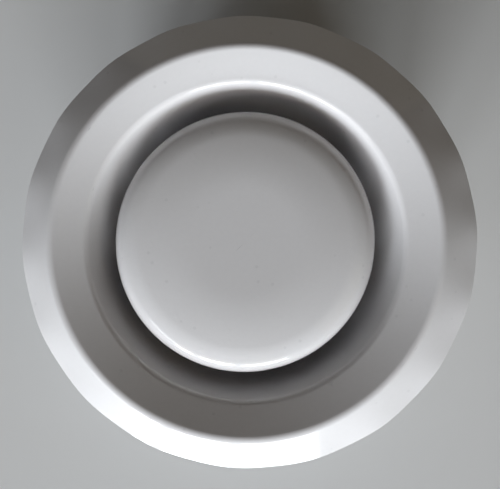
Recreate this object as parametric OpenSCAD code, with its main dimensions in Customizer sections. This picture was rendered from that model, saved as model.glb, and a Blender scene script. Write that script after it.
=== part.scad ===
// Round disc air valve for a 100 mm duct.
// +Z points into the room, and z = 0 is the ceiling that the collar's flange is screwed to.

/* [Face ring] */
// Outside diameter of the face ring at its rim
flange_d = 140; // [136:1:150]
// Thickness of the pressed steel sheet of the ring and the disc
sheet_t = 0.8; // [0.6:0.1:1]
// Radius of the ring's raised crest, before it is rounded
crest_r = 59.9; // [59.5:0.1:61]
// Slope of the outer band, from the crest out to the rim, in degrees
outer_slope = 31; // [28:1:34]
// Slope of the inner band, from the crest in to the throat, in degrees
inner_slope = 18; // [16:1:20]
// Bend radius of the crest
crest_bend = 3.2; // [2:0.2:4]

/* [Throat] */
// Radius where the inner band and the throat wall would meet, before the bend
shoulder_r = 48.8; // [48.5:0.1:49]
// Bend radius of the shoulder
shoulder_bend = 3.3; // [2.5:0.1:3.6]
// Slope of the throat wall, in degrees
throat_slope = 64; // [63:1:65]
// Inside radius of the straight neck
neck_r = 38.4; // [38:0.1:39]
// Depth of the neck's end below the ceiling
neck_depth = 34; // [33:0.5:36]

/* [Disc] */
// Diameter of the adjustable disc
disc_d = 80.4; // [79:0.1:81]
// Height of the disc's widest line above the ceiling, as it is set
disc_z = -1; // [-1.5:0.1:0]
// Radius of the disc's flat middle
disc_flat_r = 16; // [14:0.5:20]
// Radius where the gentle dome turns into the steeper brow round it
dome_r = 32; // [31:0.5:33]
// Slope of the dome at that radius, in degrees
dome_slope = 7; // [6:0.5:8]
// Slope where the brow ends and the rolled edge starts, in degrees
brow_slope = 19.5; // [18:0.5:21]
// Radius of the rolled edge
edge_bend = 5.4; // [5:0.1:6]
// Height of the straight skirt below the widest line
skirt_h = 0.8; // [0.5:0.1:1]

/* [Spindle and bridge] */
// Thread diameter of the spindle, M6
spindle_d = 6; // [6:1:6]
// Length of the spindle under its head
spindle_l = 45; // [44:1:48]
// Height of the bridge's room-side face
bridge_z = -26; // [-26.4:0.1:-25.8]
// Width of the bridge strip
bridge_w = 15; // [14:1:18]
// Thickness of the bridge strip
bridge_t = 2; // [1.5:0.5:2]

/* [Mounting collar] */
// Outside diameter of the spigot, for a 100 mm duct
spigot_d = 99.4; // [99:0.1:99.6]
// Depth of the spigot's end below the ceiling
spigot_depth = 50; // [45:1:60]
// Thickness of the collar's galvanised sheet
collar_t = 0.7; // [0.6:0.1:0.8]
// Diameter of the collar's flange
collar_flange_d = 116; // [114:1:118]
// Diameter of the circle of screw holes
screw_circle_d = 108; // [107:1:109]
// Diameter of a screw hole
screw_hole_d = 4.4; // [4:0.1:4.6]
// Number of screw holes
screw_count = 4; // [3:1:6]

/* [Hidden] */
$fn = 96;
PLAY = 0.05;           // gap left between pieces that only touch
CUT = 1;               // how far a cutter passes a face it cuts
ARC_STEPS = 8;         // straight steps in one bend of a sheet

POWDER_WHITE = [0.80, 0.79, 0.81];
ZINC = [0.66, 0.68, 0.70];
STEEL = [0.72, 0.72, 0.70];
FOAM = [0.22, 0.22, 0.23];
RUBBER = [0.08, 0.08, 0.09];

// Face ring, worked out from the rim inwards
rim_r = flange_d / 2;
rim_z = sheet_t * cos(outer_slope);
crest_z = rim_z + (rim_r - crest_r) * tan(outer_slope);
shoulder_z = crest_z - (crest_r - shoulder_r) * tan(inner_slope);
neck_top_z = shoulder_z - (shoulder_r - neck_r) * tan(throat_slope);
neck_bend = 6;

// Disc
disc_r = disc_d / 2;
edge_centre_r = disc_r - edge_bend;
brow_r = edge_centre_r + edge_bend * sin(brow_slope);
brow_bend = (brow_r - dome_r) / (sin(brow_slope) - sin(dome_slope));
dome_bend = (dome_r - disc_flat_r) / sin(dome_slope);
brow_z = disc_z + edge_bend * cos(brow_slope);
dome_z = brow_z + brow_bend * (cos(dome_slope) - cos(brow_slope));
crown_z = dome_z + dome_bend * (1 - cos(dome_slope));
disc_back_z = crown_z - sheet_t;

// M6 hardware
spindle_r = spindle_d / 2;
thread_bore_r = spindle_r + PLAY;
hex_across_flats = 10;
hex_r = hex_across_flats / 2 / cos(30);
head_h = 4;
nut_h = 5;
thin_nut_h = 3.2;
washer_bore_r = 3.2;
washer_r = 6;
chamfer_h = 0.7;

// Stack behind the disc, from the disc towards the duct
hub_t = 1.2;
hub_r = 15.5;
hub_cup_r = 7;
hub_washer_t = 1.6;
stop_washer_t = 1.2;
head_top_z = disc_back_z - PLAY;
head_seat_z = head_top_z - head_h;
hub_floor_z = head_seat_z - hub_t;
hub_nut_z = hub_floor_z - hub_washer_t - thin_nut_h;
stop_washer_z = hub_nut_z - PLAY - stop_washer_t;
spindle_end_z = head_seat_z - spindle_l;

// Stack on the bridge
spring_washer_t = 1.6;
spring_washer_r = 5.9;
spring_washer_gap = 1.2;
lock_nut_z = bridge_z + spring_washer_t + PLAY;
bridge_back_z = bridge_z - bridge_t;
bridge_bend = 2.4;
bridge_leg_top_z = -20.4;
bridge_hole_r = 3.4;
rivet_z = -23.3;
rivet_r = 1.45;
rivet_hole_r = 1.5;
rivet_head_r = 2.3;
rivet_head_h = 1;
rivet_tail_r = 2.2;
rivet_tail_h = 0.8;
rivet_spread = 6.5;    // degrees from the strip's middle to a rivet
RIVET_ANGLES = [for (side = [0, 180], spread = [-rivet_spread, rivet_spread]) side + spread];

// Collar
spigot_r = spigot_d / 2;
collar_bend = 0.9;
groove_top_z = -11;
groove_h = 6.5;
groove_depth = 1.4;
groove_bend = 0.6;
first_screw = 45;      // degrees from the first stud
lug_count = 3;
lug_in_r = 47.2;
lug_top_z = -3;
lug_t = 0.8;
lug_from = -8;         // the lug's ends, in degrees from the stud when locked
lug_to = 14;
stop_from = -6.5;
stop_to = -4.5;
stop_depth = 4.4;
stud_r = 2;
stud_gap = 0.2;        // room between a stud and the lug above it
stud_z = lug_top_z - lug_t - stud_r - stud_gap;
stud_tip_r = 48.6;
seal_lip_r = 50.9;
seal_lip_rise = 0.7;   // height of a lip's tip as a share of the lip's height
gasket_in_r = 62;
gasket_out_r = 66.8;

STUDS = [for (i = [1:lug_count]) str("bayonet_stud_", i)];
RIVETS = [for (i = [1:len(RIVET_ANGLES)]) str("bridge_rivet_", i)];

// ---- Outlines of bent sheet ----

function unit(v) = v / norm(v);

function turned(v, angle) = [
    v.x * cos(angle) - v.y * sin(angle),
    v.x * sin(angle) + v.y * cos(angle)
];

// The corner b of a path from a to c, rounded to a bend of the given radius
function bend(a, b, c, radius) =
    let (
        u = unit(a - b),
        v = unit(c - b),
        half = acos(u * v) / 2,
        centre = b + unit(u + v) * radius / sin(half),
        start = b + u * radius / tan(half),
        sweep = sign(cross(b - a, c - b)) * (180 - 2 * half)
    )
    [for (i = [0:ARC_STEPS]) centre + turned(start - centre, sweep * i / ARC_STEPS)];

// A path of [r, z, bend radius] corners as [r, z] points; its two ends stay sharp
function rounded(path) =
    let (p = [for (c = path) [c[0], c[1]]], last = len(path) - 1)
    [
        p[0],
        for (i = [1:last - 1]) each (path[i][2] > 0 ? bend(p[i - 1], p[i], p[i + 1], path[i][2]) : [p[i]]),
        p[last]
    ];

function left_of(v) = [-v.y, v.x];

// The points moved sideways by d, to the left of the path when d is positive
function beside(points, d) =
    let (last = len(points) - 1)
    [for (i = [0:last])
        let (
            before = left_of(unit(points[max(i, 1)] - points[max(i, 1) - 1])),
            after = left_of(unit(points[min(i + 1, last)] - points[min(i, last - 1)]))
        )
        points[i] + d * (before + after) / (1 + before * after)
    ];

function reversed(points) = [for (i = [len(points) - 1:-1:0]) points[i]];

// One face of a sheet and the same face moved by the sheet's thickness, as one outline
function sheet_outline(points, thickness) = concat(points, reversed(beside(points, thickness)));

ring_face = rounded([
    [rim_r, rim_z],
    [crest_r, crest_z, crest_bend],
    [shoulder_r, shoulder_z, shoulder_bend],
    [neck_r, neck_top_z, neck_bend],
    [neck_r, -neck_depth]
]);

// An arc round [centre_r, centre_z] that falls outwards from one slope to another, without its first point
function falling_arc(centre_r, centre_z, bend_r, from, to) =
    [for (i = [1:ARC_STEPS])
        let (a = from + (to - from) * i / ARC_STEPS)
        [centre_r + bend_r * sin(a), centre_z + bend_r * cos(a)]];

disc_face = concat(
    [[0, crown_z], [disc_flat_r, crown_z]],
    falling_arc(disc_flat_r, crown_z - dome_bend, dome_bend, 0, dome_slope),
    falling_arc(dome_r - brow_bend * sin(dome_slope), dome_z - brow_bend * cos(dome_slope), brow_bend,
        dome_slope, brow_slope),
    falling_arc(edge_centre_r, disc_z, edge_bend, brow_slope, 90),
    [[disc_r, disc_z - skirt_h]]
);

collar_face = rounded([
    [collar_flange_d / 2, 0],
    [spigot_r, 0, collar_bend],
    [spigot_r, groove_top_z, groove_bend],
    [spigot_r - groove_depth, groove_top_z - groove_depth, groove_bend],
    [spigot_r - groove_depth, groove_top_z - groove_h + groove_depth, groove_bend],
    [spigot_r, groove_top_z - groove_h, groove_bend],
    [spigot_r, -spigot_depth]
]);

// ---- Shared shapes ----

module tube(outer, inner, height) {
    difference() {
        cylinder(r = outer, h = height);
        translate([0, 0, -CUT])
            cylinder(r = inner, h = height + 2 * CUT);
    }
}

// A slice of a tube between two angles
module tube_slice(outer, inner, height, from, to) {
    rotate([0, 0, from])
        rotate_extrude(angle = to - from)
            translate([inner, 0])
                square([outer - inner, height]);
}

// A hexagon standing on z = 0, its top corners chamfered, and its bottom ones too if both is true
module hexagon(height, both) {
    cone_h = hex_r + height;
    flat_r = hex_across_flats / 2;
    intersection() {
        cylinder(r = hex_r, h = height, $fn = 6);
        translate([0, 0, height - cone_h + flat_r])
            cylinder(r1 = cone_h, r2 = 0, h = cone_h);
        if (both)
            translate([0, 0, -flat_r])
                cylinder(r1 = 0, r2 = cone_h, h = cone_h);
    }
}

module nut(height) {
    difference() {
        hexagon(height, true);
        translate([0, 0, -CUT])
            cylinder(r = thread_bore_r, h = height + 2 * CUT);
    }
}

// The four holes through the bridge's legs and the neck
module rivet_holes() {
    for (angle = RIVET_ANGLES)
        rotate([0, 0, angle])
            translate([neck_r - bridge_t - 2 * CUT, 0, rivet_z])
                rotate([0, 90, 0])
                    cylinder(r = rivet_hole_r, h = bridge_t + sheet_t + 4 * CUT, $fn = 32);
}

// Everything inside the back of the face ring, used to cut pieces to the ring's back
module inside_of_ring() {
    rotate_extrude()
        polygon(concat([[0, ring_face[0].y], [0, -neck_depth]], reversed(beside(ring_face, sheet_t))));
}

// ---- Collar ----

module mounting_collar() {
    color(ZINC) {
        difference() {
            rotate_extrude()
                polygon(sheet_outline(collar_face, -collar_t));
            for (i = [0:screw_count - 1])
                rotate([0, 0, first_screw + i * 360 / screw_count])
                    translate([screw_circle_d / 2, 0, -CUT])
                        cylinder(d = screw_hole_d, h = collar_t + 2 * CUT, $fn = 32);
        }
        for (i = [0:lug_count - 1])
            rotate([0, 0, i * 360 / lug_count])
                bayonet_lug();
    }
}

// An inward lug that a stud turns under, with the stop that ends its turn
module bayonet_lug() {
    wall_mid_r = spigot_r - collar_t / 2;
    stop_in_r = lug_in_r + lug_t / 2;
    translate([0, 0, lug_top_z - lug_t])
        tube_slice(wall_mid_r, lug_in_r, lug_t, lug_from, lug_to);
    translate([0, 0, lug_top_z - lug_t - stop_depth])
        tube_slice(wall_mid_r - PLAY, stop_in_r, stop_depth + lug_t / 2, stop_from, stop_to);
}

module duct_seal() {
    base_r = spigot_r - groove_depth + PLAY;
    low_z = groove_top_z - groove_h + groove_depth + PLAY + groove_bend / 2;
    high_z = groove_top_z - groove_depth - PLAY - groove_bend / 2;
    lip_h = (high_z - low_z) / 2;
    color(RUBBER)
        rotate_extrude()
            polygon([
                [base_r, low_z],
                [spigot_r, low_z],
                [seal_lip_r, low_z + lip_h * seal_lip_rise],
                [spigot_r, low_z + lip_h],
                [seal_lip_r, low_z + lip_h * (1 + seal_lip_rise)],
                [spigot_r, high_z],
                [base_r, high_z]
            ]);
}

// ---- Valve body ----

module valve_body() {
    color(POWDER_WHITE)
        difference() {
            rotate_extrude()
                polygon(sheet_outline(ring_face, sheet_t));
            rivet_holes();
        }
}

module face_gasket() {
    face_back = beside(ring_face, sheet_t);
    drop = (face_back[0].x - gasket_in_r) * tan(outer_slope);
    rise = (face_back[0].x - gasket_out_r) * tan(outer_slope);
    color(FOAM)
        rotate_extrude()
            polygon([
                [gasket_in_r, 0],
                [gasket_out_r, 0],
                [gasket_out_r, face_back[0].y + rise - PLAY],
                [gasket_in_r, face_back[0].y + drop - PLAY]
            ]);
}

module bayonet_stud(i) {
    color(STEEL)
        difference() {
            rotate([0, 0, (i - 1) * 360 / lug_count])
                translate([neck_r, 0, stud_z])
                    rotate([0, 90, 0])
                        cylinder(r = stud_r, h = stud_tip_r - neck_r, $fn = 32);
            inside_of_ring();
        }
}

// A strip across the neck, both ends bent up towards the room: a slice of a round dish
module bridge() {
    color(ZINC)
        difference() {
            intersection() {
                rotate_extrude()
                    polygon(sheet_outline(
                        rounded([
                            [0, bridge_back_z],
                            [neck_r, bridge_back_z, bridge_bend],
                            [neck_r, bridge_leg_top_z]
                        ]),
                        bridge_t
                    ));
                translate([-neck_r - CUT, -bridge_w / 2, bridge_back_z - CUT])
                    cube([2 * neck_r + 2 * CUT, bridge_w, bridge_leg_top_z - bridge_back_z + 2 * CUT]);
            }
            translate([0, 0, bridge_back_z - CUT])
                cylinder(r = bridge_hole_r, h = bridge_t + 2 * CUT, $fn = 48);
            rivet_holes();
        }
}

// A rivet through a leg of the bridge and the neck, its head inside the leg
module bridge_rivet(i) {
    head_seat_r = neck_r - bridge_t - 2 * PLAY;
    tail_seat_r = neck_r + sheet_t;
    color(STEEL)
        rotate([0, 0, RIVET_ANGLES[i - 1]])
            translate([0, 0, rivet_z])
                rotate([0, 90, 0]) {
                    translate([0, 0, head_seat_r - rivet_head_h])
                        cylinder(r1 = rivet_r, r2 = rivet_head_r, h = rivet_head_h, $fn = 32);
                    translate([0, 0, head_seat_r])
                        cylinder(r = rivet_r, h = tail_seat_r - head_seat_r, $fn = 32);
                    translate([0, 0, tail_seat_r])
                        cylinder(r1 = rivet_tail_r, r2 = rivet_r, h = rivet_tail_h, $fn = 32);
                }
}

module bridge_nut() {
    color(ZINC)
        translate([0, 0, bridge_back_z - nut_h])
            nut(nut_h);
}

// ---- Disc and its spindle ----

module disc_plate() {
    color(POWDER_WHITE)
        rotate_extrude()
            polygon(sheet_outline(disc_face, -sheet_t));
}

// A pressed cup on the disc's back that holds the spindle's head
module hub_plate() {
    color(ZINC)
        rotate_extrude()
            polygon(sheet_outline(
                rounded([
                    [hub_r, disc_back_z - hub_t],
                    [hub_cup_r + hub_t, disc_back_z - hub_t, hub_t / 2],
                    [hub_cup_r + hub_t, hub_floor_z, hub_t],
                    [washer_bore_r, hub_floor_z]
                ]),
                -hub_t
            ));
}

module spindle() {
    color(STEEL) {
        translate([0, 0, head_seat_z])
            hexagon(head_h, false);
        translate([0, 0, spindle_end_z + chamfer_h])
            cylinder(r = spindle_r, h = spindle_l - chamfer_h);
        translate([0, 0, spindle_end_z])
            cylinder(r1 = spindle_r - chamfer_h, r2 = spindle_r, h = chamfer_h);
    }
}

module hub_washer() {
    color(ZINC)
        translate([0, 0, hub_floor_z - hub_washer_t])
            tube(washer_r, washer_bore_r, hub_washer_t);
}

module hub_nut() {
    color(STEEL)
        translate([0, 0, hub_nut_z])
            nut(thin_nut_h);
}

module stop_washer() {
    color(ZINC)
        translate([0, 0, stop_washer_z])
            tube(washer_r, washer_bore_r, stop_washer_t);
}

// ---- Lock nut ----

// A split ring
module spring_washer() {
    color(STEEL)
        translate([0, 0, bridge_z])
            difference() {
                tube(spring_washer_r, washer_bore_r, spring_washer_t);
                translate([0, -spring_washer_gap / 2, -CUT])
                    cube([spring_washer_r + CUT, spring_washer_gap, spring_washer_t + 2 * CUT]);
            }
}

module lock_nut() {
    color(STEEL)
        translate([0, 0, lock_nut_z])
            nut(thin_nut_h);
}

mounting_collar();
duct_seal();
valve_body();
face_gasket();
for (i = [1:lug_count]) bayonet_stud(i);
bridge();
for (i = [1:len(RIVETS)]) bridge_rivet(i);
bridge_nut();
disc_plate();
hub_plate();
spindle();
hub_washer();
hub_nut();
stop_washer();
spring_washer();
lock_nut();
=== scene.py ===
import cmath
import math
from math import cos, pi, radians, sin, tan

import bmesh
import bpy
from mathutils import Matrix, Vector


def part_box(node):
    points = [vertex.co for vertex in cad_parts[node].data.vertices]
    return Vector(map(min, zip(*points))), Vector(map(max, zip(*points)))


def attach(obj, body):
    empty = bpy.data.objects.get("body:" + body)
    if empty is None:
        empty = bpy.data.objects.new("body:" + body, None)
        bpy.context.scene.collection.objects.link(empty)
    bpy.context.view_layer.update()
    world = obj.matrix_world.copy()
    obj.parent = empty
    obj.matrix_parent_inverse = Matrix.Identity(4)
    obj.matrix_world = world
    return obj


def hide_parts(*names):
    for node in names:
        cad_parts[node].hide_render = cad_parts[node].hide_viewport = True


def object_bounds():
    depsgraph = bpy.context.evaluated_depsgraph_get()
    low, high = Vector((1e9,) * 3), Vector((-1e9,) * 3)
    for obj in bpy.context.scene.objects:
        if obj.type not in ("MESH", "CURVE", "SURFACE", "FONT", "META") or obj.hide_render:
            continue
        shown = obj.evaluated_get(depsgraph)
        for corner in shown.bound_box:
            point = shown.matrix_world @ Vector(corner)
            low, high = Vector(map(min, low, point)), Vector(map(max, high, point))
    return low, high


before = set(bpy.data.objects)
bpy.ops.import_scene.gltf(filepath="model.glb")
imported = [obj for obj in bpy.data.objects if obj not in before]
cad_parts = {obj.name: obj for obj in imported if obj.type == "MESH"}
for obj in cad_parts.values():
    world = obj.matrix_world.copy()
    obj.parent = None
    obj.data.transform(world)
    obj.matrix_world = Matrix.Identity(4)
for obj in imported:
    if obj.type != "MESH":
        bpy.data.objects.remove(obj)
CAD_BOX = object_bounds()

# Lengths are millimetres and angles degrees, unless a comment says otherwise. Meshes are made in metres.
MM = 0.001

# How finely round shapes are divided
BEND_STEPS, FACE_BEND_STEPS, ARC_STEPS, CORNER_STEPS, SOFT_STEPS = 8, 22, 16, 6, 5
SHELL_SIDES, COLLAR_SIDES, DISC_SIDES, HUB_SIDES = 360, 288, 300, 180
WASHER_SIDES, HEXAGON_SIDES, SMALL_SIDES, RIVET_SIDES, THREAD_SIDES = 90, 72, 40, 36, 32

# ---- Sizes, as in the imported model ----
SHEET_T = 0.8
RIM_R, CREST_R, SHOULDER_R, NECK_R = 70.0, 59.9, 48.8, 38.4
OUTER_SLOPE, INNER_SLOPE, THROAT_SLOPE = 31, 18, 64
CREST_BEND, SHOULDER_BEND, NECK_BEND = 3.2, 3.3, 6.0
NECK_DEPTH = 34.0
RIM_Z = SHEET_T * cos(radians(OUTER_SLOPE))
CREST_Z = RIM_Z + (RIM_R - CREST_R) * tan(radians(OUTER_SLOPE))
SHOULDER_Z = CREST_Z - (CREST_R - SHOULDER_R) * tan(radians(INNER_SLOPE))
NECK_TOP_Z = SHOULDER_Z - (SHOULDER_R - NECK_R) * tan(radians(THROAT_SLOPE))

DISC_R, DISC_Z, DISC_FLAT_R, DOME_R, EDGE_BEND, SKIRT_H = 40.2, -1.0, 16.0, 32.0, 5.4, 0.8
DOME_SLOPE, BROW_SLOPE = radians(7), radians(19.5)      # radians
EDGE_CENTRE_R = DISC_R - EDGE_BEND
BROW_R = EDGE_CENTRE_R + EDGE_BEND * sin(BROW_SLOPE)
BROW_BEND = (BROW_R - DOME_R) / (sin(BROW_SLOPE) - sin(DOME_SLOPE))
DOME_BEND = (DOME_R - DISC_FLAT_R) / sin(DOME_SLOPE)
BROW_Z = DISC_Z + EDGE_BEND * cos(BROW_SLOPE)
DOME_Z = BROW_Z + BROW_BEND * (cos(DOME_SLOPE) - cos(BROW_SLOPE))
CROWN_Z = DOME_Z + DOME_BEND * (1 - cos(DOME_SLOPE))
DISC_BACK_Z = CROWN_Z - SHEET_T


def object_box_mm(node):
    """The lowest and highest corners of a CAD node."""
    low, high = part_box(node)
    return low / MM, high / MM


# ---- Outlines: points are complex numbers, radius + height * 1j ----

def unit(v):
    return v / abs(v)


def bend(a, b, c, radius, steps=CORNER_STEPS):
    """The corner b of a path from a to c, rounded to a bend of that radius."""
    u, v = unit(a - b), unit(c - b)
    half = math.acos(max(-1, min(1, (u * v.conjugate()).real))) / 2
    centre = b + unit(u + v) * radius / sin(half)
    start = b + u * radius / tan(half)
    turn = ((b - a).conjugate() * (c - b)).imag
    sweep = math.copysign(pi - 2 * half, turn)
    return [centre + (start - centre) * cmath.exp(1j * sweep * i / steps) for i in range(steps + 1)]


def rounded(path, steps=BEND_STEPS):
    """A path of (radius, height, bend radius) corners; its two ends stay as they are."""
    points = [complex(c[0], c[1]) for c in path]
    out = [points[0]]
    for i in range(1, len(path) - 1):
        out += bend(points[i - 1], points[i], points[i + 1], path[i][2], steps)
    return out + [points[-1]]


def beside(points, d):
    """The points moved sideways by d, to the left of the path when d is positive."""
    out = []
    for i, p in enumerate(points):
        before = unit(points[max(i, 1)] - points[max(i, 1) - 1]) * 1j
        j = min(i, len(points) - 2)
        after = unit(points[j + 1] - points[j]) * 1j
        out.append(p + d * (before + after) / (1 + (before * after.conjugate()).real))
    return out


def refined(points, step):
    """The same path with no stretch longer than step."""
    out = [points[0]]
    for a, b in zip(points, points[1:]):
        n = max(1, math.ceil(abs(b - a) / step))
        out += [a + (b - a) * i / n for i in range(1, n + 1)]
    return out


def sheet(points, thickness, corner=0.25, step=1.5, open_end=False):
    """A sheet's closed outline from one of its faces, with softened cut edges.
    With open_end the path's first point is on the axis, where the sheet goes on."""
    front = refined(points, step)
    back = beside(front, thickness)[::-1]
    ends = [front[-2], front[-1], back[0], back[1]]
    far = bend(*ends[:3], corner) + bend(*ends[1:], corner)
    if open_end:
        return front[:-1] + far + back[1:]
    ends = [back[-2], back[-1], front[0], front[1]]
    near = bend(*ends[:3], corner) + bend(*ends[1:], corner)
    return front[1:-1] + far + back[1:-1] + near


def softened(corners, step=50.0):
    """A closed outline of (radius, height, softening) corners, with no stretch longer than step."""
    points = [complex(c[0], c[1]) for c in corners]
    out = []
    n = len(points)
    for i in range(n):
        if corners[i][2] > 0:
            out += bend(points[i - 1], points[i], points[(i + 1) % n], corners[i][2], SOFT_STEPS)
        else:
            out.append(points[i])
    return refined(out, step)


# ---- Meshes ----

MERGE_DISTANCE = 1e-7            # points closer than this, in metres, become one


def make_object(name, points, faces, sharp=None):
    """A mesh from points in mm, cleaned, facing outwards and shaded smooth.
    Edges bent by more than sharp stay sharp."""
    mesh = bpy.data.meshes.new(name)
    mesh.from_pydata([Vector(p) * MM for p in points], [], faces)
    work = bmesh.new()
    work.from_mesh(mesh)
    bmesh.ops.remove_doubles(work, verts=work.verts, dist=MERGE_DISTANCE)
    bmesh.ops.recalc_face_normals(work, faces=work.faces)
    work.to_mesh(mesh)
    work.free()
    for face in mesh.polygons:
        face.use_smooth = True
    obj = bpy.data.objects.new(name, mesh)
    bpy.context.scene.collection.objects.link(obj)
    if sharp:
        mesh.set_sharp_from_angle(angle=radians(sharp))
    return obj


def weigh_normals(obj):
    """Shades large faces flat up to their soft edges."""
    weighted = obj.modifiers.new("weighted_normals", "WEIGHTED_NORMAL")
    weighted.keep_sharp = True


def bevel_edges(obj, width, segments=2, angle=30):
    """Rounds the edges that are bent by more than the angle."""
    edge = obj.modifiers.new("soft_edges", "BEVEL")
    edge.width = width * MM
    edge.segments = segments
    edge.limit_method = "ANGLE"
    edge.angle_limit = radians(angle)
    weigh_normals(obj)


def even_angles(count, extra=()):
    """A full turn in even steps, with any extra angles among them."""
    return sorted(set([360 * i / count for i in range(count)]) | set(extra))


def revolve(name, outline, angles, warp=None, place=None, part_turn=False, closed=True, sharp=None):
    """The outline turned round the axis. warp(radius, angle, height) gives (radius, height, sideways shift).
    The outline is a loop, or with closed=False a line from the axis to the axis."""
    points, faces = [], []
    for a in angles:
        for p in outline:
            r, z = p.real, p.imag
            shift = (0, 0)
            if warp:
                r, z, shift = warp(r, a, z)
            v = Vector((r * cos(radians(a)) + shift[0], r * sin(radians(a)) + shift[1], z))
            points.append(place @ v if place else v)
    m, n = len(outline), len(angles)
    for j in range(n - 1 if part_turn else n):
        k = (j + 1) % n
        for i in range(m if closed else m - 1):
            h = (i + 1) % m
            faces.append((j * m + i, k * m + i, k * m + h, j * m + h))
    if part_turn:
        faces += [tuple(range(m)), tuple((n - 1) * m + i for i in range(m))]
    return make_object(name, points, faces, sharp)


def cut_holes(obj, places, radius, length):
    """Round holes through obj, each at a matrix in places whose Z is the hole's axis."""
    hole = [complex(0, -length), complex(radius, -length), complex(radius, length), complex(0, length)]
    cutters = []
    for i, place in enumerate(places):
        cutters.append(revolve(f"cutter_{i}", hole, even_angles(SMALL_SIDES), place=place, closed=False))
    for cutter in cutters:
        cut = obj.modifiers.new(cutter.name, "BOOLEAN")
        cut.operation = "DIFFERENCE"
        cut.solver = "EXACT"
        cut.object = cutter
    apply_modifiers(obj)
    for cutter in cutters:
        bpy.data.objects.remove(cutter)


def apply_modifiers(obj):
    """Turns the object's modifiers into its mesh."""
    graph = bpy.context.evaluated_depsgraph_get()
    graph.update()
    mesh = bpy.data.meshes.new_from_object(obj.evaluated_get(graph))
    obj.modifiers.clear()
    obj.data = mesh


def add_piece(obj, body, material, node):
    """Gives a piece its material and its body, and hides the CAD node it stands for."""
    obj.data.materials.clear()
    obj.data.materials.append(material)
    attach(obj, body)
    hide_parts(node)


def radial(angle, z):
    """A place whose Z points out from the axis at that angle and height."""
    turn, tip = Matrix.Rotation(radians(angle), 4, "Z"), Matrix.Rotation(pi / 2, 4, "Y")
    return turn @ Matrix.Translation((0, 0, z)) @ tip


# ---- Materials ----

REFRACTION = 1.5


class Nodes:
    """Short calls for building one material's node tree."""

    def __init__(self, name):
        self.material = bpy.data.materials.new(name)
        self.material.use_nodes = True
        self.tree = self.material.node_tree
        self.shader = self.tree.nodes["Principled BSDF"]
        self.where = self.tree.nodes.new("ShaderNodeTexCoord").outputs["Object"]

    def link(self, value, socket):
        if isinstance(value, bpy.types.NodeSocket):
            self.tree.links.new(value, socket)
        else:
            socket.default_value = value

    def add(self, kind, inputs, output=0, **settings):
        node = self.tree.nodes.new("ShaderNode" + kind)
        for key, value in settings.items():
            setattr(node, key, value)
        for key, value in inputs.items():
            self.link(value, node.inputs[key])
        return node.outputs[output]

    def noise(self, size, detail=2.0, rough=0.5, where=None):
        """Soft noise with features of about that size in mm."""
        return self.add("TexNoise", {"Vector": where or self.where, "Scale": 1 / (size * MM),
                                     "Detail": detail, "Roughness": rough}, "Fac")

    def cells(self, size, output="Distance", where=None):
        """Cells of about that size in mm: a point's distance from its cell's middle, or the cell's colour."""
        return self.add("TexVoronoi", {"Vector": where or self.where, "Scale": 1 / (size * MM)}, output)

    def spots(self, spacing, radius, share):
        """1 inside scattered spots of up to that radius in mm, in a share of the cells, and 0 elsewhere."""
        kind = self.add("SeparateColor", {"Color": self.cells(spacing, "Color")}, "Red")
        chosen = self.span(kind, 1 - share, 1 - share + 0.02)
        edge = radius / spacing
        return self.math("MULTIPLY", self.span(self.cells(spacing), edge, edge / 2), chosen)

    def stretched(self, x, y, z):
        """Texture places scaled on each axis, so a texture is longer where the scale is below 1."""
        return self.add("Mapping", {"Vector": self.where, "Scale": (x, y, z)}, "Vector")

    def span(self, value, low, high, to_low=0.0, to_high=1.0):
        """value from low..high to to_low..to_high, clamped."""
        return self.add("MapRange", {"Value": value, "From Min": low, "From Max": high, "To Min": to_low,
                                     "To Max": to_high}, "Result")

    def math(self, operation, a, b=0.0):
        node = self.tree.nodes.new("ShaderNodeMath")
        node.operation = operation
        self.link(a, node.inputs[0])
        self.link(b, node.inputs[1])
        return node.outputs[0]

    def mix(self, share, a, b):
        node = self.tree.nodes.new("ShaderNodeMix")
        node.data_type = "RGBA"
        self.link(share, node.inputs["Factor"])
        self.link(a, node.inputs["A"])
        self.link(b, node.inputs["B"])
        return node.outputs["Result"]

    def worn_edge(self, low, high, size=3.0):
        """1 on sharp edges, broken up by noise, and 0 elsewhere."""
        point = self.add("NewGeometry", {}, "Pointiness")
        return self.math("MULTIPLY", self.span(point, low, high), self.span(self.noise(size, 3), 0.45, 0.65))

    def bump(self, *layers):
        """Bumps of (height value, height in micrometres), one on another."""
        normal = None
        for value, micrometres in layers:
            inputs = {"Height": value, "Strength": 1.0, "Distance": micrometres * 1e-6}
            if normal:
                inputs["Normal"] = normal
            normal = self.add("Bump", inputs)
        self.link(normal, self.shader.inputs["Normal"])

    def finish(self, colour, roughness, metallic=0.0):
        self.link(colour, self.shader.inputs["Base Color"])
        self.link(roughness, self.shader.inputs["Roughness"])
        self.link(metallic, self.shader.inputs["Metallic"])
        self.shader.inputs["IOR"].default_value = REFRACTION
        return self.material


POWDER, POWDER_THIN, POWDER_DUST = (0.855, 0.84, 0.85, 1), (0.74, 0.72, 0.735, 1), (0.70, 0.68, 0.65, 1)
PRIMER = (0.36, 0.36, 0.37, 1)
NIBS, PITS = (4.0, 0.70, 0.50), (4.6, 0.66, 0.45)      # spacing, radius, share of the cells that have one


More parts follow.
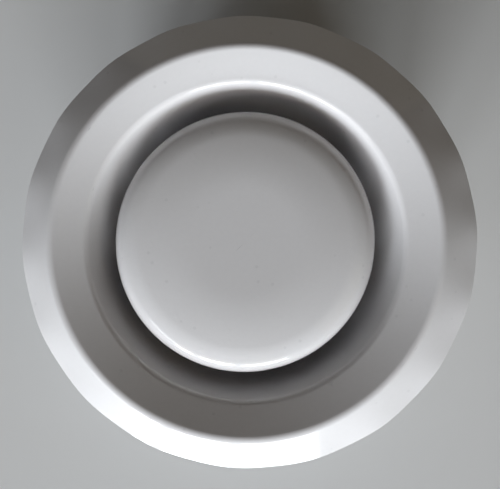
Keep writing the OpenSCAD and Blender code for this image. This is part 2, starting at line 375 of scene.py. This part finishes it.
def powder_coat():
    """Glossy white powder coat: faint mottling, orange peel, dust nibs, pits and rub marks, thin at edges."""
    n = Nodes("powder_white")
    mottle = n.span(n.noise(1.3, 3, 0.6), 0.35, 0.65)
    cloud = n.span(n.noise(32, 2), 0.3, 0.7)
    colour = n.mix(n.math("MULTIPLY", mottle, 0.10), POWDER, POWDER_THIN)
    colour = n.mix(n.math("MULTIPLY", cloud, 0.05), colour, POWDER_DUST)
    nib, pit = n.spots(*NIBS), n.spots(*PITS)
    colour = n.mix(n.math("MULTIPLY", pit, 0.12), colour, PRIMER)
    worn = n.worn_edge(0.56, 0.66)
    colour = n.mix(n.math("MULTIPLY", worn, 0.35), colour, PRIMER)
    smear = n.noise(18, 3, 0.55, n.stretched(1, 0.35, 1))
    rubbed = n.span(n.noise(1.6, 3, 0.6, n.stretched(0.12, 1, 1)), 0.60, 0.72)
    roughness = n.span(smear, 0.3, 0.7, 0.065, 0.10)
    roughness = n.math("ADD", roughness, n.math("MULTIPLY", rubbed, 0.05))
    roughness = n.math("ADD", roughness, n.math("MULTIPLY", worn, 0.15))
    n.bump((n.noise(6.0, 1), 6.0), (n.noise(1.5, 1), 1.1), (n.noise(0.5, 2), 0.25), (rubbed, -2.5),
           (nib, 12.0), (pit, -10.0))
    return n.finish(colour, roughness)


def galvanised():
    """Hot-dip galvanised sheet: spangle, drawing marks, a little white bloom and brighter worn edges."""
    n = Nodes("galvanised_sheet")
    drift = n.add("TexNoise", {"Vector": n.where, "Scale": 180.0}, "Color")
    warped = n.add("VectorMath", {0: drift, 1: (0.004, 0.004, 0.004), 2: n.where}, "Vector",
                   operation="MULTIPLY_ADD")
    grain = n.cells(4.5, "Color", where=warped)
    tone = n.add("SeparateColor", {"Color": grain}, "Red")
    fine = n.noise(0.6, 3)
    colour = n.mix(tone, (0.50, 0.52, 0.535, 1), (0.70, 0.715, 0.73, 1))
    bloom = n.span(n.noise(14, 4, 0.6), 0.56, 0.72)
    colour = n.mix(n.math("MULTIPLY", bloom, 0.45), colour, (0.62, 0.63, 0.63, 1))
    worn = n.worn_edge(0.54, 0.62)
    colour = n.mix(worn, colour, (0.80, 0.80, 0.80, 1))
    scratch = n.noise(5, 4, 0.7, n.stretched(1, 1, 14))
    roughness = n.math("ADD", n.span(tone, 0, 1, 0.30, 0.44), n.span(bloom, 0, 1, 0.0, 0.18))
    roughness = n.math("ADD", roughness, n.span(scratch, 0.3, 0.7, -0.03, 0.05))
    n.bump((tone, 2.5), (fine, 1.5), (scratch, 1.2))
    return n.finish(colour, roughness, n.span(bloom, 0, 1, 0.95, 0.55))


def plated(name, light, dark, rough_low, rough_high):
    """Plated or plain steel hardware with handling marks, dull grimy patches and bright worn edges."""
    n = Nodes(name)
    tint = n.span(n.noise(3.0, 3, 0.6), 0.35, 0.65)
    colour = n.mix(tint, light, dark)
    grime = n.span(n.noise(5, 4, 0.65), 0.52, 0.70)
    colour = n.mix(n.math("MULTIPLY", grime, 0.35), colour, (0.24, 0.21, 0.18, 1))
    worn = n.worn_edge(0.52, 0.60, 1.5)
    colour = n.mix(n.math("MULTIPLY", worn, 0.7), colour, (0.86, 0.85, 0.83, 1))
    roughness = n.math("ADD", n.span(n.noise(0.8, 4), 0.3, 0.7, rough_low, rough_high),
                       n.math("MULTIPLY", grime, 0.2))
    n.bump((n.noise(0.35, 3), 1.5), (n.noise(2.2, 2), 4.0))
    return n.finish(colour, roughness, 1.0)


def rubber():
    """Matte black rubber with a fine grain and a little dust."""
    n = Nodes("seal_rubber")
    dust = n.span(n.noise(6, 4, 0.6), 0.45, 0.75)
    colour = n.mix(n.math("MULTIPLY", dust, 0.5), (0.022, 0.022, 0.024, 1), (0.075, 0.073, 0.07, 1))
    worn = n.worn_edge(0.53, 0.62)
    colour = n.mix(n.math("MULTIPLY", worn, 0.4), colour, (0.11, 0.11, 0.11, 1))
    n.bump((n.noise(0.5, 3), 8.0), (n.noise(4, 2), 20.0))
    return n.finish(colour, n.span(dust, 0, 1, 0.42, 0.68))


def foam():
    """Closed-cell foam: open cut cells on its surface, with painted shade in their hollows, and a soft grey
    variation.
    """
    n = Nodes("gasket_foam")
    pores_with_painted_shade = n.cells(0.55)
    cloud = n.noise(7, 3)
    # The colour darkens towards each cell's middle: painted shade in the pores' hollows, lighter at their
    # rims.
    colour = n.mix(n.span(pores_with_painted_shade, 0.1, 0.6), (0.018, 0.018, 0.02, 1), (0.075, 0.075, 0.08, 1))
    colour = n.mix(n.span(cloud, 0.4, 0.7, 0, 0.35), colour, (0.10, 0.10, 0.10, 1))
    worn = n.worn_edge(0.53, 0.62)
    colour = n.mix(n.math("MULTIPLY", worn, 0.4), colour, (0.14, 0.14, 0.14, 1))
    n.bump((pores_with_painted_shade, 120.0), (cloud, 60.0))
    return n.finish(colour, n.span(cloud, 0.3, 0.7, 0.85, 0.98))


WHITE = powder_coat()
GALVANISED = galvanised()
ZINC = plated("zinc_hardware", (0.70, 0.71, 0.70, 1), (0.56, 0.57, 0.575, 1), 0.20, 0.36)
RIVET = plated("rivet_steel", (0.58, 0.58, 0.57, 1), (0.44, 0.44, 0.43, 1), 0.28, 0.46)
SPRING = plated("spring_steel", (0.20, 0.20, 0.21, 1), (0.10, 0.10, 0.11, 1), 0.26, 0.42)
RUBBER = rubber()
FOAM = foam()

# ---- Face ring ----

RIM_SHIFT = (1.2, 0.0)           # how far the rim's circle lies off the throat's
CREST_SHIFT = (0.26, -0.28)      # and the crest's
RIM_OVAL, RIM_OVAL_PHASE = 0.18, 100.0
FACE_WAVES = ((2, 0.05, 70.0), (7, 0.012, 10.0))    # lobes, height, phase
# The flange's edge has shallow lobes, not quite evenly spaced: their count, depth, lift, and where they start
FLANGE_LOBES, LOBE_H, LOBE_LIFT, LOBE_START = 19, 0.09, 0.15, -20.0
LOBE_DRIFT, DRIFT_START = 5.0, -15.0
RING_EDGE = 0.3                  # softening of the ring's cut edges


def smooth_step(x):
    x = max(0.0, min(1.0, x))
    return x * x * (3 - 2 * x)


def waves(rows, angle):
    """The sum of waves round the axis, from rows of (lobes, height, phase)."""
    return sum(height * sin(radians(lobes * angle + phase)) for lobes, height, phase in rows)


def ring_warp(r, a, z):
    """The face's faults: its rim and crest lie off centre, and its flange is lobed and not quite flat."""
    out = max(0.0, (r - CREST_R - 1) / (RIM_R - CREST_R - 1))
    near_crest = smooth_step((r - SHOULDER_R) / (CREST_R - SHOULDER_R))
    face = smooth_step((r - NECK_R - 2) / (SHOULDER_R - NECK_R))
    drift = LOBE_DRIFT * cos(radians(a - DRIFT_START))
    lobe = cos(radians(FLANGE_LOBES * (a - LOBE_START - drift)))
    oval = RIM_OVAL * sin(radians(2 * a + RIM_OVAL_PHASE))
    shift = [crest * near_crest + (rim - crest) * out for rim, crest in zip(RIM_SHIFT, CREST_SHIFT)]
    height = z + face * waves(FACE_WAVES, a) + out * LOBE_LIFT * lobe
    return r + out * (oval + LOBE_H * lobe), height, shift


def make_ring():
    """The face ring, its throat and its neck, from the rim inwards."""
    face = rounded([
        (RIM_R, RIM_Z, 0),
        (CREST_R, CREST_Z, CREST_BEND),
        (SHOULDER_R, SHOULDER_Z, SHOULDER_BEND),
        (NECK_R, NECK_TOP_Z, NECK_BEND),
        (NECK_R, -NECK_DEPTH, 0),
    ], FACE_BEND_STEPS)
    obj = revolve("face_ring", sheet(face, SHEET_T, RING_EDGE), even_angles(SHELL_SIDES), ring_warp)
    weigh_normals(obj)
    add_piece(obj, "valve", WHITE, "valve_body")


DISC_SHIFT = (-0.2, 0.05)        # the disc isn't quite central
DISC_OVAL, DISC_OVAL_PHASE = 0.18, 336.0


def disc_warp(r, a, z):
    """A slightly oval disc."""
    return r + DISC_OVAL * r / DISC_R * sin(radians(2 * a + DISC_OVAL_PHASE)), z, DISC_SHIFT


def make_disc():
    """The room side is flat in the middle and falls in three arcs, which meet without a kink."""
    face = [complex(0, CROWN_Z), complex(DISC_FLAT_R / 2, CROWN_Z), complex(DISC_FLAT_R, CROWN_Z)]
    brow_centre_r = DOME_R - BROW_BEND * sin(DOME_SLOPE)
    brow_centre_z = DOME_Z - BROW_BEND * cos(DOME_SLOPE)
    for centre_r, centre_z, radius, slope_from, slope_to in (
            (DISC_FLAT_R, CROWN_Z - DOME_BEND, DOME_BEND, 0, DOME_SLOPE),
            (brow_centre_r, brow_centre_z, BROW_BEND, DOME_SLOPE, BROW_SLOPE),
            (EDGE_CENTRE_R, DISC_Z, EDGE_BEND, BROW_SLOPE, pi / 2)):
        for i in range(1, ARC_STEPS + 1):
            a = slope_from + (slope_to - slope_from) * i / ARC_STEPS
            face.append(complex(centre_r + radius * sin(a), centre_z + radius * cos(a)))
    face.append(complex(DISC_R, DISC_Z - SKIRT_H))
    outline = sheet(face, -SHEET_T, open_end=True)
    obj = revolve("disc_shell", outline, even_angles(DISC_SIDES), disc_warp, closed=False)
    weigh_normals(obj)
    add_piece(obj, "disc", WHITE, "disc_plate")


make_ring()
make_disc()

# ---- Collar, seal and gasket ----

SPIGOT_R, SPIGOT_DEPTH, COLLAR_T, FLANGE_R, COLLAR_BEND = 49.7, 50.0, 0.7, 58.0, 0.9
GROOVE_TOP, GROOVE_H, GROOVE_DEPTH, GROOVE_BEND = -11.0, 6.5, 1.4, 0.6
SCREW_CIRCLE_R, SCREW_HOLE_R, SCREW_ANGLES = 54.0, 2.2, (45, 135, 225, 315)
CUTTER_LENGTH = 3                # half the length of a tool that cuts through thin sheet
WALL_OVERLAP = 0.1               # how far welded pieces go into the wall they sit on
COLLAR_EDGE, COLLAR_OVAL, COLLAR_OVAL_PHASE = 0.15, 0.06, 50
SEAM_ANGLE, SEAM_W, SEAM_H, SEAM_RIPPLE = 205.0, 0.7, 0.20, 0.9
SEAM_OFFSETS = (0.3, 0.6, 0.9, 1.2, 1.6, 2.2)       # extra cuts on both sides of the seam
LUG_ANGLES = (0, 120, 240)
LUG_IN_R, LUG_TOP_Z, LUG_T, LUG_SPAN, LUG_EDGE = 47.2, -3.0, 0.8, (-8, 14), 0.18
STOP_IN, STOP_H, STOP_DROP, STOP_SPAN = 0.4, 4.4, 0.3, (-6.5, -4.5)      # each lug's end stop, below the lug
SEAL_LIP_R, SEAL_GAP, SEAL_SIDE_GAP = 50.9, 0.05, 0.35
LIP_WAVES = ((5, 0.07, 0), (13, 0.042, 80))       # lobes, share of the lip's reach, phase
LIP_LIFTS = ((9, 0.05, 0),)
GASKET_IN_R, GASKET_OUT_R, GASKET_GAP = 62.0, 66.8, 0.05
GASKET_JOINT, JOINT_GAP = 250.0, 0.2       # where the strip's ends meet, and each end's distance from there
GASKET_WAVES = ((9, 0.12, 0), (23, 0.06, 40))
GASKET_CUTS, GASKET_STEP, GASKET_BACK = 300, 1.0, 0.8


def collar_warp(r, a, z):
    """A welded seam down the spigot's outside, and the spigot a little out of round."""
    off = (a - SEAM_ANGLE) * radians(1) * r / SEAM_W
    if r > SPIGOT_R - 0.1 and z < -1 and abs(off) < 3:
        r += SEAM_H * math.exp(-off * off) * (1 + 0.2 * sin(2 * pi * z / SEAM_RIPPLE))
    return r + COLLAR_OVAL * sin(radians(2 * a + COLLAR_OVAL_PHASE)), z, (0, 0)


def make_collar():
    """The collar's flange and spigot, with its screw holes, and its bayonet lugs with their stops."""
    face = rounded([
        (FLANGE_R, 0, 0),
        (SPIGOT_R, 0, COLLAR_BEND),
        (SPIGOT_R, GROOVE_TOP, GROOVE_BEND),
        (SPIGOT_R - GROOVE_DEPTH, GROOVE_TOP - GROOVE_DEPTH, GROOVE_BEND),
        (SPIGOT_R - GROOVE_DEPTH, GROOVE_TOP - GROOVE_H + GROOVE_DEPTH, GROOVE_BEND),
        (SPIGOT_R, GROOVE_TOP - GROOVE_H, GROOVE_BEND),
        (SPIGOT_R, -SPIGOT_DEPTH, 0),
    ])
    seam = [SEAM_ANGLE + side * step for step in SEAM_OFFSETS for side in (-1, 1)]
    outline = sheet(face, -COLLAR_T, COLLAR_EDGE, 1.0)
    obj = revolve("collar_shell", outline, even_angles(COLLAR_SIDES, seam), collar_warp)
    out = Matrix.Translation((SCREW_CIRCLE_R, 0, 0))
    holes = [Matrix.Rotation(radians(a), 4, "Z") @ out for a in SCREW_ANGLES]
    cut_holes(obj, holes, SCREW_HOLE_R, CUTTER_LENGTH)
    weigh_normals(obj)
    add_piece(obj, "collar", GALVANISED, "mounting_collar")
    wall_r = SPIGOT_R - COLLAR_T + WALL_OVERLAP
    lug_z = LUG_TOP_Z - LUG_T
    cuts = 20
    for i, turn in enumerate(LUG_ANGLES):
        for name, low_r, low_z, high_z, (start, end) in (
                ("lug", LUG_IN_R, lug_z, LUG_TOP_Z, LUG_SPAN),
                ("lug_stop", LUG_IN_R + STOP_IN, lug_z - STOP_H, LUG_TOP_Z - STOP_DROP, STOP_SPAN)):
            corners = [(low_r, low_z, 0), (wall_r, low_z, 0), (wall_r, high_z, 0), (low_r, high_z, 0)]
            angles = [turn + start + (end - start) * k / cuts for k in range(cuts + 1)]
            lug = revolve(f"collar_{name}_{i + 1}", softened(corners), angles, part_turn=True)
            bevel_edges(lug, LUG_EDGE)
            add_piece(lug, "collar", GALVANISED, "mounting_collar")


def make_seal():
    """The seal's band in the groove, with its two soft lips."""
    base = SPIGOT_R - GROOVE_DEPTH + SEAL_GAP
    low = GROOVE_TOP - GROOVE_H + GROOVE_DEPTH + SEAL_SIDE_GAP
    high = GROOVE_TOP - GROOVE_DEPTH - SEAL_SIDE_GAP
    lip = (high - low) / 2
    corners = [(base, low, 0.1), (SPIGOT_R - 0.1, low, 0.2)]
    for foot in (low, low + lip):
        corners += [(SEAL_LIP_R, foot + 0.60 * lip, 0.1), (SEAL_LIP_R - 0.05, foot + 0.80 * lip, 0.1)]
        corners.append((SPIGOT_R + 0.05, foot + 0.96 * lip, 0.2))
    corners.append((base, high, 0.1))

    def lip_warp(r, a, z):
        out = max(0.0, r - SPIGOT_R)
        return r + out * waves(LIP_WAVES, a), z + out * waves(LIP_LIFTS, a), (0, 0)

    obj = revolve("seal_ring", softened(corners), even_angles(COLLAR_SIDES), lip_warp)
    weigh_normals(obj)
    add_piece(obj, "collar", RUBBER, "duct_seal")


def make_gasket():
    """Foam strip on the ring's back, cut and butted at one place."""
    back_r = RIM_R - SHEET_T * sin(radians(OUTER_SLOPE))
    slope = tan(radians(OUTER_SLOPE))
    corners = [
        (GASKET_IN_R, 0, 0.4), (GASKET_OUT_R, 0, 0.4),
        (GASKET_OUT_R, (back_r - GASKET_OUT_R) * slope - GASKET_GAP, 0.2),
        (GASKET_IN_R, (back_r - GASKET_IN_R) * slope - GASKET_GAP, 0.2),
    ]

    def foam_warp(r, a, z):
        """Follows the ring's back, and stays flat on the ceiling's side."""
        ring_r, ring_z, shift = ring_warp(r, a, z)
        return ring_r + waves(GASKET_WAVES, a), ring_z if z > GASKET_BACK else z, shift

    turn = 360 - 2 * JOINT_GAP
    angles = [GASKET_JOINT + JOINT_GAP + turn * i / GASKET_CUTS for i in range(GASKET_CUTS + 1)]
    obj = revolve("foam_gasket", softened(corners, GASKET_STEP), angles, foam_warp, part_turn=True)
    weigh_normals(obj)
    add_piece(obj, "valve", FOAM, "face_gasket")


# ---- Studs, bridge and rivets ----

STUD_R, STUD_TIP_R, STUD_Z, STUD_TIP_BEND = 2.0, 48.6, -6.0, 0.8
STUD_FOOT_R, STUD_FOOT_H, STUD_FILLET_H = 2.7, 0.5, 1.3     # the weld round each stud's foot
BRIDGE_Z, BRIDGE_T, BRIDGE_W, BRIDGE_BEND, BRIDGE_LEG_Z = -26.0, 2.0, 15.0, 2.4, -20.4
BRIDGE_HOLE_R, BRIDGE_EDGE, BRIDGE_CUTS = 3.4, 0.3, 12
RIVET_Z, RIVET_ANGLES = -23.3, (-6.5, 6.5, 173.5, 186.5)
RIVET_HEAD_R, RIVET_HEAD_H, RIVET_SHANK_R, RIVET_SINK = 2.3, 0.95, 1.45, 0.1


def make_studs():
    """Round studs welded to the throat's slanting back."""
    slant = tan(radians(THROAT_SLOPE))
    base = SHOULDER_R - (SHOULDER_Z - STUD_Z) / slant + SHEET_T / 2
    foot, tip = complex(STUD_R, base + STUD_FILLET_H), complex(STUD_R, STUD_TIP_R)
    outline = [complex(0, base), complex(STUD_FOOT_R, base), complex(STUD_FOOT_R, base + STUD_FOOT_H)]
    outline += [complex(2.2, base + 0.9), foot]
    outline += bend(foot, tip, complex(0, STUD_TIP_R), STUD_TIP_BEND, BEND_STEPS)
    outline.append(complex(0, STUD_TIP_R))

    def slant_warp(r, a, h):
        """Tips the foot to the throat's slope, and leaves the tip square."""
        share = 1 - smooth_step((h - base - 0.4) / 1.4)
        return r, h - share * r * cos(radians(a)) / slant, (0, 0)

    for i, turn in enumerate(LUG_ANGLES):
        stud = revolve(f"stud_{i + 1}", refined(outline, 0.4), even_angles(SMALL_SIDES), slant_warp,
                       radial(turn, STUD_Z), closed=False)
        weigh_normals(stud)
        add_piece(stud, "valve", WHITE, f"bayonet_stud_{i + 1}")


def make_bridge():
    """A strip across the neck, both ends bent up to lie against its round wall."""
    back_z = BRIDGE_Z - BRIDGE_T
    sides = []
    for inset in (0.0, BRIDGE_T):
        r, z = NECK_R - inset, back_z + inset
        inside_bend = max(BRIDGE_BEND - inset, 0.4)
        low = bend(complex(0, z), complex(r, z), complex(r, 0), inside_bend, 10)
        leg = refined([low[-1], complex(r, BRIDGE_LEG_Z)], 0.7)[1:]
        sides.append((low + leg, z))
    across = [BRIDGE_W * (k / BRIDGE_CUTS - 0.5) for k in range(BRIDGE_CUTS + 1)]
    run_cuts = 14
    loops = []
    for y in across:
        loop = []
        for (curve, z), order in ((sides[0], 1), (sides[1], -1)):
            first = math.sqrt(curve[0].real ** 2 - y * y)
            run = [(first * k / run_cuts, z) for k in range(1 - run_cuts, run_cuts)]
            right = [(math.sqrt(p.real ** 2 - y * y), p.imag) for p in curve]
            left = [(-x, h) for x, h in right[::-1]]
            loop += [(x, y, h) for x, h in (left + run + right)[::order]]
        loops.append(loop)
    m = len(loops[0])
    points = [p for loop in loops for p in loop]
    faces = [(j * m + i, j * m + (i + 1) % m, (j + 1) * m + (i + 1) % m, (j + 1) * m + i)
             for j in range(len(loops) - 1) for i in range(m)]
    half = m // 2
    for j in (0, len(loops) - 1):
        for i in range(half - 1):
            faces.append((j * m + i, j * m + i + 1, j * m + m - 2 - i, j * m + m - 1 - i))
    obj = make_object("bridge_strip", points, faces)
    cut_holes(obj, [Matrix.Translation((0, 0, BRIDGE_Z))], BRIDGE_HOLE_R, BRIDGE_T + CUTTER_LENGTH)
    bevel_edges(obj, BRIDGE_EDGE, 3, 40)
    add_piece(obj, "valve", GALVANISED, "bridge")


def make_rivets():
    """Rivets with a domed head on the bridge and a formed, dimpled tail outside the neck."""
    seat, tail = NECK_R - BRIDGE_T - RIVET_SINK, NECK_R + SHEET_T
    outline = []
    for a in range(0, 91, 9):
        outline.append(complex(RIVET_HEAD_R * sin(radians(a)), seat - 0.15 - RIVET_HEAD_H * cos(radians(a))))
    outline += [complex(RIVET_HEAD_R, seat), complex(RIVET_SHANK_R, seat), complex(RIVET_SHANK_R, tail)]
    for r, h in ((2.2, 0), (2.2, 0.25), (1.75, 0.75), (1.2, 0.8), (0.9, 0.55), (0, 0.5)):
        outline.append(complex(r, tail + h))
    for i, turn in enumerate(RIVET_ANGLES):
        rivet = revolve(f"rivet_{i + 1}", outline, even_angles(RIVET_SIDES), place=radial(turn, RIVET_Z),
                        closed=False, sharp=50)
        weigh_normals(rivet)
        add_piece(rivet, "valve", RIVET, f"bridge_rivet_{i + 1}")


# ---- Nuts, washers, spindle and hub ----

HEX_FLAT_R, FACE_SHARE, BORE_R, LEAD_IN, HEX_EDGE = 5.0, 0.95, 3.05, 0.4, 0.10
CHAMFER_SLOPE = 30
PAST_HEX = 99                    # stands for the hexagon's own radius in an outline
WASHER_BORE_R = 3.2              # also the hole in the hub cup


def make_hexagon(name, low, high, both, bore):
    """A hexagon chamfered at its top, and at its bottom if both is true, with a bore if bore is true."""
    face_r = HEX_FLAT_R * FACE_SHARE
    outside = [complex(face_r, low), complex(PAST_HEX, low), complex(PAST_HEX, high), complex(face_r, high)]
    if bore:
        bottom = [complex(BORE_R, low + LEAD_IN), complex(BORE_R + LEAD_IN, low)]
        top = [complex(BORE_R + LEAD_IN, high), complex(BORE_R, high - LEAD_IN)]
    else:
        bottom, top = [complex(0, low)], [complex(0, high)]

    def hexagonal(r, a, z):
        if r < PAST_HEX:
            return r, z, (0, 0)
        corner = HEX_FLAT_R / cos(radians((a + 30) % 60 - 30))
        drop = (corner - face_r) * tan(radians(CHAMFER_SLOPE))
        if z > (low + high) / 2:
            return corner, z - drop, (0, 0)
        return corner, z + (drop if both else 0), (0, 0)

    obj = revolve(name, bottom + outside + top, even_angles(HEXAGON_SIDES), hexagonal, closed=bore)
    bevel_edges(obj, HEX_EDGE)
    return obj


def make_nut(node, name, body):
    low, high = object_box_mm(node)
    obj = make_hexagon(name, low.z, high.z, True, True)
    add_piece(obj, body, ZINC, node)


SPLIT = 13.0                     # degrees of gap in the spring washer


def make_washer(node, name, body, material, split=False):
    low, high = object_box_mm(node)
    corners = [(WASHER_BORE_R, low.z, 0.1), (high.y, low.z, 0.1), (high.y, high.z, 0.3)]
    corners.append((WASHER_BORE_R, high.z, 0.3))
    if split:
        angles = [SPLIT / 2 + (360 - SPLIT) * i / WASHER_SIDES for i in range(WASHER_SIDES + 1)]
        obj = revolve(name, softened(corners), angles, part_turn=True)
    else:
        obj = revolve(name, softened(corners), even_angles(WASHER_SIDES))
    weigh_normals(obj)
    add_piece(obj, body, material, node)


THREAD_R, PITCH, THREAD_DEPTH, THREAD_CHAMFER, HEAD_H = 3.0, 1.0, 0.58, 0.8, 4
THREAD_OVERRUN = 1.5             # thread made past the spindle's end, and cut off there


def make_spindle():
    """The M6 screw: a rod with a rolled right-hand thread, its end chamfered, and its hexagon head."""
    low, high = object_box_mm("spindle")
    seat = high.z - HEAD_H
    root = THREAD_R - THREAD_DEPTH
    shape = ((0.00, root), (0.14, root), (0.43, THREAD_R), (0.57, THREAD_R), (0.86, root))
    around, turns = THREAD_SIDES, int(seat - low.z) + 3
    points = []
    for t in range(turns):
        for part, r in shape:
            for k in range(around):
                a = 2 * pi * k / around
                z = low.z - THREAD_OVERRUN + (t + part + k / around) * PITCH
                points.append((r * cos(a), r * sin(a), z))
    rings = turns * len(shape)
    faces = []
    for i in range(rings - 1):
        for k in range(around - 1):
            faces.append((i * around + k, i * around + k + 1, (i + 1) * around + k + 1, (i + 1) * around + k))
    step = len(shape)
    for i in range(rings - 1 - step):
        k = around - 1
        faces.append((i * around + k, (i + step) * around, (i + 1 + step) * around, (i + 1) * around + k))
    obj = make_object("spindle_thread", points, faces)
    work = bmesh.new()
    work.from_mesh(obj.data)
    for height, side in ((low.z, -1), (seat + 0.2, 1)):
        everything = work.verts[:] + work.edges[:] + work.faces[:]
        cut = bmesh.ops.bisect_plane(work, geom=everything, dist=1e-8, plane_co=(0, 0, height * MM),
                                     plane_no=(0, 0, side), clear_outer=True)
        rim = [e for e in cut["geom_cut"] if isinstance(e, bmesh.types.BMEdge)]
        bmesh.ops.contextual_create(work, geom=rim)
    for v in work.verts:
        flat = Vector((v.co.x, v.co.y))
        limit = (THREAD_R - THREAD_CHAMFER + (v.co.z / MM - low.z)) * MM
        if flat.length > limit > 0:
            flat *= limit / flat.length
            v.co.x, v.co.y = flat
    bmesh.ops.recalc_face_normals(work, faces=work.faces)
    work.to_mesh(obj.data)
    work.free()
    obj.data.set_sharp_from_angle(angle=radians(35))
    add_piece(obj, "disc", ZINC, "spindle")
    head = make_hexagon("spindle_head", seat, high.z, False, False)
    add_piece(head, "disc", ZINC, "spindle")


HUB_R, HUB_CUP_R, HUB_T, HUB_EDGE = 15.5, 7.0, 1.2, 0.2
WELD_CIRCLE_R, WELD_COUNT, WELD_R, WELD_DEPTH = 12.2, 6, 1.3, 0.35


def make_hub():
    """The pressed cup on the disc's back, with its ring of projection welds."""
    low, _ = object_box_mm("hub_plate")
    top = DISC_BACK_Z - HUB_T
    face = rounded([
        (HUB_R, top, 0),
        (HUB_CUP_R + HUB_T, top, HUB_T / 2),
        (HUB_CUP_R + HUB_T, low.z, HUB_T),
        (WASHER_BORE_R, low.z, 0),
    ])

    def weld_warp(r, a, z):
        """Presses a dimple into the flange's back at each weld."""
        if z < top + HUB_T / 2 and r > HUB_CUP_R + HUB_T:
            turn = 360 / WELD_COUNT
            off = (a + turn / 2) % turn - turn / 2
            away = math.hypot(r - WELD_CIRCLE_R, radians(off) * r) / WELD_R
            z += WELD_DEPTH * math.exp(-away ** 4)
        return r, z, (0, 0)

    obj = revolve("hub_cup", sheet(face, -HUB_T, HUB_EDGE, 0.5), even_angles(HUB_SIDES), weld_warp)
    weigh_normals(obj)
    add_piece(obj, "disc", GALVANISED, "hub_plate")


make_collar()
make_seal()
make_gasket()
make_studs()
make_bridge()
make_rivets()
make_nut("lock_nut", "lock_nut_m6", "nut")
make_nut("bridge_nut", "bush_nut_m6", "valve")
make_nut("hub_nut", "hub_nut_m6", "disc")
make_washer("hub_washer", "hub_washer_m6", "disc", ZINC)
make_washer("stop_washer", "loose_washer_m6", "loose_washer", ZINC)
make_washer("spring_washer", "split_washer_m6", "valve", SPRING, split=True)
make_spindle()
make_hub()

# ---- Stage ----

FLOOR, FLOOR_SHADE = (0.80, 0.79, 0.78, 1), (0.76, 0.76, 0.76, 1)
FLOOR_SIZE, FLOOR_CELLS = 20000.0, 8


def make_floor():
    """The plain pale floor that the part stands on."""
    n = Nodes("pale_floor")
    n.finish(n.mix(n.noise(300, 3), FLOOR, FLOOR_SHADE), 0.9)
    z, cells = CAD_BOX[0].z / MM, FLOOR_CELLS
    edges = [FLOOR_SIZE * (i / cells - 0.5) for i in range(cells + 1)]
    points = [(x, y, z) for y in edges for x in edges]
    faces = []
    for j in range(cells):
        for i in range(cells):
            k = j * (cells + 1) + i
            faces.append((k, k + 1, k + cells + 2, k + cells + 1))
    floor = make_object("floor", points, faces)
    floor.data.materials.append(n.material)


LIGHT_DISTANCE = 2.2             # metres
WINDOW = (0.91, 0.965, 1.0)
BLIND = (1.0, 0.74, 0.58)
CURTAIN = (0.90, 0.94, 1.0)
ROOM = (1.0, 0.80, 0.50)
ROOM_SHADE = (0.62, 0.80, 1.0)
ROOM_FAR = (1.0, 0.92, 0.78)
AMBIENT, AMBIENT_STRENGTH = (1.0, 0.92, 0.82, 1), 0.02


def softbox(name, side_from, side_to, low, high, radiance, colour):
    """An upright light panel that fills those directions, as seen from the object.
    Directions are degrees round from +X, and heights are degrees above the ceiling plane."""
    light = bpy.data.lights.new(name, "AREA")
    light.shape = "RECTANGLE"
    light.size = 2 * LIGHT_DISTANCE * tan(radians(side_to - side_from) / 2)
    bottom, top = LIGHT_DISTANCE * tan(radians(low)), LIGHT_DISTANCE * tan(radians(high))
    light.size_y = top - bottom
    light.energy = radiance * pi * light.size * light.size_y
    light.color = colour
    obj = bpy.data.objects.new(name, light)
    bpy.context.scene.collection.objects.link(obj)
    middle = radians((side_from + side_to) / 2)
    obj.location = (LIGHT_DISTANCE * cos(middle), LIGHT_DISTANCE * sin(middle), (top + bottom) / 2)
    obj.rotation_euler = Vector((cos(middle), sin(middle), 0)).to_track_quat("Z", "Y").to_euler()
    obj.visible_camera = False


def make_world():
    """A little warm light from everywhere."""
    world = bpy.data.worlds.new("studio")
    bpy.context.scene.world = world
    world.use_nodes = True
    back = world.node_tree.nodes["Background"]
    back.inputs["Color"].default_value = AMBIENT
    back.inputs["Strength"].default_value = AMBIENT_STRENGTH


# The camera's height above the rim, the width of the picture there, and its place beside the axis, in metres
CAMERA_H, CAMERA_FIELD, CAMERA_X, CAMERA_Y = 0.310, 0.1542, 0.00126, -0.00076


def make_camera():
    """The camera looks straight down at the face, nearly on its axis."""
    camera = bpy.data.cameras.new("camera")
    obj = bpy.data.objects.new("camera", camera)
    bpy.context.scene.collection.objects.link(obj)
    camera.sensor_width = 36
    camera.lens = camera.sensor_width * CAMERA_H / CAMERA_FIELD
    obj.location = (CAMERA_X, CAMERA_Y, CAMERA_H + RIM_Z * MM)
    bpy.context.scene.camera = obj


make_floor()
make_world()
make_camera()

# A tall window below the picture, in three panes with glazing bars between them, and blinds above it
WINDOW_LOW, WINDOW_TOP, BLIND_TOP = 3, 24, 36
BLIND_RADIANCE = 1.5
for name, side_from, side_to, radiance in (
        ("right", 268.8, 290, 13.4),
        ("middle", 248.6, 264.4, 24.8),
        ("left", 236, 244.8, 15.2)):
    softbox(f"window_{name}", side_from, side_to, WINDOW_LOW, WINDOW_TOP, radiance, WINDOW)
    softbox(f"blind_{name}", side_from, side_to, WINDOW_TOP, BLIND_TOP, BLIND_RADIANCE, BLIND)

# The bright curtain beside it, and the dim room
softbox("curtain", 219, 235.5, 19, 34, 4.7, CURTAIN)
softbox("sky_right", 290, 310, 36, 55, 0.45, ROOM_SHADE)
softbox("room_right", 310, 350, 30, 60, 0.36, ROOM)
softbox("room_far", 40, 120, 5, 30, 0.29, ROOM_FAR)
softbox("room_left", 165, 219, 30, 60, 0.10, ROOM_SHADE)
bpy.context.scene.view_settings.view_transform = "Standard"
